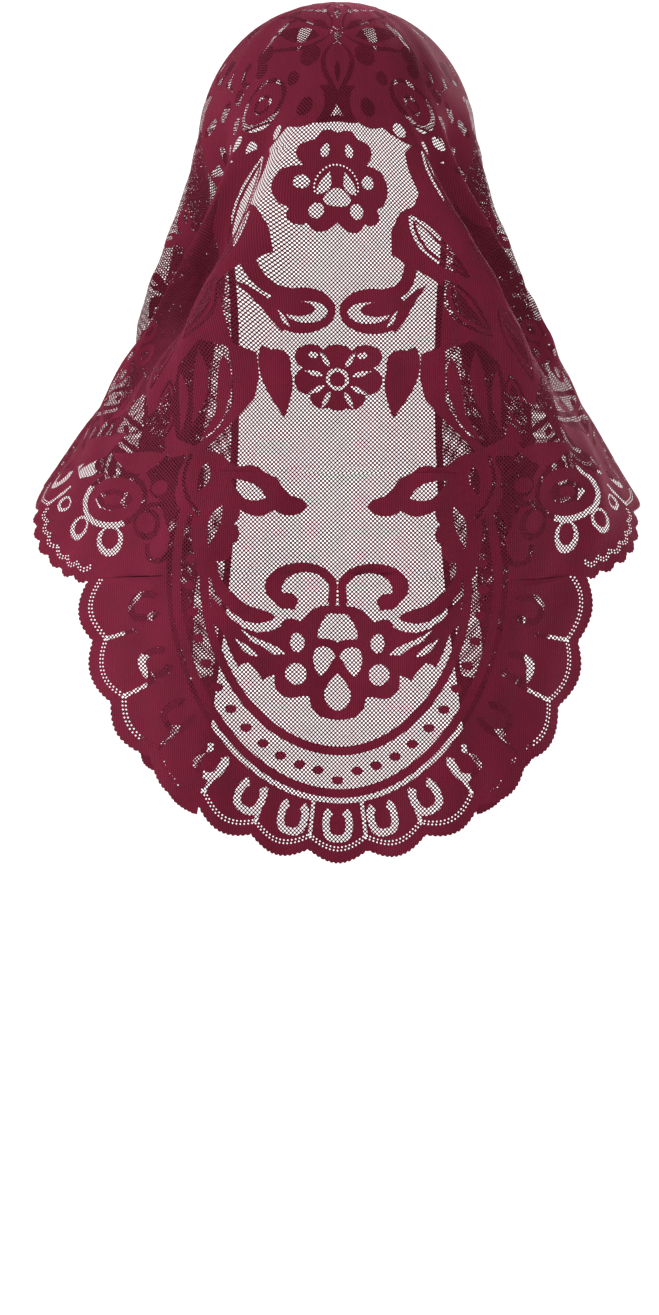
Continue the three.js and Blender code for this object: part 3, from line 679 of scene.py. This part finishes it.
for face, sources in zip(cut_faces, cut_from):
    if not sources or min(sources) >= len(cloth_cuts):
        continue
    flat_area += abs(np.cross(flat[face[1]] - flat[face[0]], flat[face[2]] - flat[face[0]])) / 2
    kind = shapes[max(sources)][0]
    if kind != "hole":
        kept.append(face[::-1])
        stitches.append(0 if kind == "knit" else 1)
used = np.unique(np.concatenate([np.array(face) for face in kept]))
order = np.full(len(flat), -1)
order[used] = np.arange(len(used))
flat = flat[used]
kept = [[int(order[i]) for i in face] for face in kept]
across_step, down_step = np.array([0.6, 0.0]), np.array([0.0, 0.6])
crease_height, crease_free, crease_full = 1.5, 100.0, 330.0


def facing(surface, flat):
    out = np.cross(surface(flat + down_step) - surface(flat - down_step),
                   surface(flat + across_step) - surface(flat - across_step))
    return out / np.maximum(np.linalg.norm(out, axis=1), 1e-9)[:, None]


def creased(flat):
    across, down = flat[:, 0], flat[:, 1]
    long_waves = np.sin(across * 0.105 + 1.7 * np.sin(down * 0.013) + 0.6)
    long_waves = long_waves * np.sin(down * 0.021 + across * 0.012 + 1)
    short_waves = np.sin(across * 0.21 + down * 0.045 + 2 * np.sin(down * 0.029))
    share = np.clip((np.hypot(across, down) - crease_free) / (crease_full - crease_free), 0, 1)
    height = crease_height * share * (long_waves + 0.4 * short_waves)
    return draped(flat) + facing(draped, flat) * height[:, None]


normals = facing(creased, flat)
place = creased(flat) * MM

mesh = bpy.data.meshes.new("veil_cloth")
mesh.from_pydata(place.tolist(), [], kept)
mesh.polygons.foreach_set("material_index", stitches)
mesh.polygons.foreach_set("use_smooth", [True] * len(kept))
uv_layer = mesh.uv_layers.new(name="OFBake")
loop_points = np.empty(len(mesh.loops), dtype=np.int32)
mesh.loops.foreach_get("vertex_index", loop_points)
uvs = np.stack([flat[:, 0] / uv_width + 0.5, uv_top - (flat[:, 1] + face_edge_reach) / uv_width], axis=1)
uv_layer.data.foreach_set("uv", uvs[loop_points].ravel())
mesh.update()
mesh.normals_split_custom_set_from_vertices(normals.tolist())
veil = bpy.data.objects.new("veil_cloth", mesh)
bpy.context.scene.collection.objects.link(veil)


class Wire:
    def __init__(self, socket):
        self.socket = socket

    def maths(self, kind, first, second=None):
        return node(self.socket.node.id_data, "ShaderNodeMath", {"operation": kind}, {0: first, 1: second})

    def __add__(self, other):
        return self.maths("ADD", self, other)

    def __sub__(self, other):
        return self.maths("SUBTRACT", self, other)

    def __rsub__(self, other):
        return self.maths("SUBTRACT", other, self)

    def __mul__(self, other):
        return self.maths("MULTIPLY", self, other)

    def __truediv__(self, other):
        return self.maths("DIVIDE", self, other)

    def __pow__(self, other):
        return self.maths("POWER", self, other)

    def __gt__(self, other):
        return self.maths("GREATER_THAN", self, other)

    def fraction(self):
        return self.maths("FRACT", self)

    def sine(self):
        return self.maths("SINE", self)

    __radd__ = __add__
    __rmul__ = __mul__


def node(tree, kind, settings, inputs, output=0):
    made = tree.nodes.new(kind)
    for name, value in settings.items():
        setattr(made, name, value)
    for name, value in inputs.items():
        if isinstance(value, Wire):
            tree.links.new(value.socket, made.inputs[name])
        elif value is not None:
            made.inputs[name].default_value = value
    return Wire(made.outputs[output]) if len(made.outputs) else None


def new_yarn_material(name):
    material = bpy.data.materials.new(name)
    material.use_nodes = True
    tree = material.node_tree
    tree.nodes.clear()
    uv = node(tree, "ShaderNodeUVMap", {"uv_map": "OFBake"}, {})
    across = node(tree, "ShaderNodeSeparateXYZ", {}, {0: uv}, 0) * uv_width
    down = node(tree, "ShaderNodeSeparateXYZ", {}, {0: uv}, 1) * uv_width
    return material, tree, across, down


def cloudy(tree, across, down, scale, detail):
    where = node(tree, "ShaderNodeCombineXYZ", {}, {"X": across, "Y": down})
    return node(tree, "ShaderNodeTexNoise", {"noise_dimensions": "2D"},
                {"Vector": where, "Scale": scale, "Detail": detail})


# Mixes a shaded tone and a lit tone of the yarn by the share: painted shade and painted light.
def shade_and_dye_mix(tree, share, shaded_tone, lit_tone):
    return node(tree, "ShaderNodeMix", {"data_type": "RGBA"}, {0: share, 6: shaded_tone, 7: lit_tone}, 2)


def yarn_shader(tree, colour, roughness, alpha, height, rise):
    bump = node(tree, "ShaderNodeBump", {}, {"Strength": 0.8, "Distance": rise, "Height": height})
    shader = node(tree, "ShaderNodeBsdfPrincipled", {}, {
        "Base Color": colour, "Roughness": roughness, "Alpha": alpha, "Normal": bump,
        "Sheen Weight": 0.28, "Sheen Roughness": 0.35, "Sheen Tint": (0.85, 0.12, 0.26, 1),
        "Specular IOR Level": 0.12})
    node(tree, "ShaderNodeOutputMaterial", {}, {"Surface": shader})


# The close stitches: burgundy yarn in upright wales, a little uneven in depth of colour, as dyed lace is.
# Their colour is mixed between a shaded tone and a lit tone of the yarn, which are painted shade and painted
# light. The wale and course waves paint shade into the grooves between the stitches, and the cloudy noise
# gives the uneven dye.
wale_pitch, course_pitch = 1.25, 0.95
# The first tone is the yarn in shade and the second is the yarn in light: painted shade and painted light.
shaded_yarn, lit_yarn = (0.070, 0.0028, 0.0115, 1), (0.158, 0.0068, 0.027, 1)
knit, tree, across, down = new_yarn_material("burgundy_close_knit")
wale = (across * (math.pi / wale_pitch)).sine() ** 2
course = (down * (math.pi / course_pitch) + wale * 1.3).sine() ** 2
cloud = cloudy(tree, across, down, 0.03, 3.0)
fuzz = cloudy(tree, across, down, 0.55, 2.0)
# Painted shade in the grooves between wales and courses, plus uneven dye from the cloudy noise.
depth = wale * 0.45 + course * 0.2 + cloud * 0.5 + fuzz * 0.25 - 0.25
stitch_rise = 0.0004
colour = shade_and_dye_mix(tree, depth, shaded_yarn, lit_yarn)
yarn_shader(tree, colour, 0.72 + fuzz * 0.12, None, wale * 0.7 + course * 0.3, stitch_rise)

# The net ground: the same yarn in a fine open mesh of upright diamonds, clear between its threads. The
# threads are painted darker than the close stitches, as painted shade of what is seen through the net. Their
# colour is mixed at random by cloudy noise between a shaded tone and a lit tone, which are painted shade and
# painted light.
diamond_width, diamond_height, diamond_open = 2.5, 2.6, 0.35
# The thread tones in shade and in light, darker than the yarn tones above: painted shade and painted light.
shaded_thread, lit_thread = (0.048, 0.0020, 0.0085, 1), (0.118, 0.0052, 0.0205, 1)
net, tree, across, down = new_yarn_material("burgundy_diamond_net")
rising = (across / diamond_width + down / diamond_height).fraction() - 0.5
falling = (across / diamond_width - down / diamond_height).fraction() - 0.5
from_middle = rising * rising + falling * falling
thread = from_middle > diamond_open**2
cloud = cloudy(tree, across, down, 0.03, 3.0)
thread_rise = 0.0003
colour = shade_and_dye_mix(tree, cloud, shaded_thread, lit_thread)
yarn_shader(tree, colour, 0.74 + cloud * 0.08, thread, from_middle, thread_rise)
mesh.materials.append(knit)
mesh.materials.append(net)

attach(veil, "root")
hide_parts("lace_veil")

# The studio, which is no part of the veil: a pale floor and wall of paper well behind it, broad soft lamps,
# even daylight, and a camera that looks at the back of the head at the height of the neck.
floor_mesh = bpy.data.meshes.new("studio_sweep")
profile = [(-6, -1.35), (3.0, -1.35)]
profile += [(3.0 + 0.8 * math.sin(math.pi * k / 16), -0.55 - 0.8 * math.cos(math.pi * k / 16))
            for k in range(1, 9)]
profile.append((3.8, 4.5))
floor_mesh.from_pydata([(x, y, z) for y, z in profile for x in (-7, 7)], [],
                       [(2 * k, 2 * k + 1, 2 * k + 3, 2 * k + 2) for k in range(len(profile) - 1)])
floor_mesh.polygons.foreach_set("use_smooth", [True] * len(floor_mesh.polygons))
sweep = bpy.data.objects.new("studio_sweep", floor_mesh)
bpy.context.scene.collection.objects.link(sweep)
paper = bpy.data.materials.new("white_paper")
paper.use_nodes = True
paper.node_tree.nodes["Principled BSDF"].inputs["Base Color"].default_value = (0.90, 0.90, 0.90, 1)
paper.node_tree.nodes["Principled BSDF"].inputs["Roughness"].default_value = 0.9
floor_mesh.materials.append(paper)

world = bpy.data.worlds.new("soft_daylight")
world.use_nodes = True
world.node_tree.nodes["Background"].inputs["Color"].default_value = (1, 1, 1, 1)
daylight_on_cloth, daylight_seen = 0.30, 0.66
seen = node(world.node_tree, "ShaderNodeLightPath", {}, {})
daylight = seen * (daylight_seen - daylight_on_cloth) + daylight_on_cloth
world.node_tree.links.new(daylight.socket, world.node_tree.nodes["Background"].inputs["Strength"])
bpy.context.scene.world = world
lamps = [
    dict(name="left_softbox", place=(-2.5, -1.2, 1.0), size=1.1, power=125),
    dict(name="right_softbox", place=(2.5, -1.0, 0.5), size=1.1, power=52),
    dict(name="front_softbox", place=(1.3, 2.4, 1.2), size=1.2, power=55),
    dict(name="backdrop_light", place=(0, 1.4, 1.6), size=2.4, power=44),
]
veil_middle, backdrop_middle = Vector((0, 0, -0.3)), Vector((0, 3.8, 0))
for row in lamps:
    light = bpy.data.lights.new(row["name"], "AREA")
    light.size, light.energy = row["size"], row["power"]
    lamp = bpy.data.objects.new(row["name"], light)
    lamp.location = row["place"]
    goal = backdrop_middle if row["name"] == "backdrop_light" else veil_middle
    lamp.rotation_euler = (goal - lamp.location).to_track_quat("-Z", "Y").to_euler()
    bpy.context.scene.collection.objects.link(lamp)

view_height, camera_distance, film_height = 0.855, 2.6, 24
eye = bpy.data.cameras.new("camera")
eye.sensor_fit = "VERTICAL"
eye.sensor_height = film_height
eye.lens = film_height * camera_distance / view_height
camera = bpy.data.objects.new("camera", eye)
camera.location = (-0.005, -camera_distance, -0.425)
camera.rotation_euler = (math.pi / 2, 0, 0)
bpy.context.scene.collection.objects.link(camera)
bpy.context.scene.camera = camera
bpy.context.scene.cycles.transparent_max_bounces = 24
bpy.context.scene.view_settings.view_transform = "Standard"
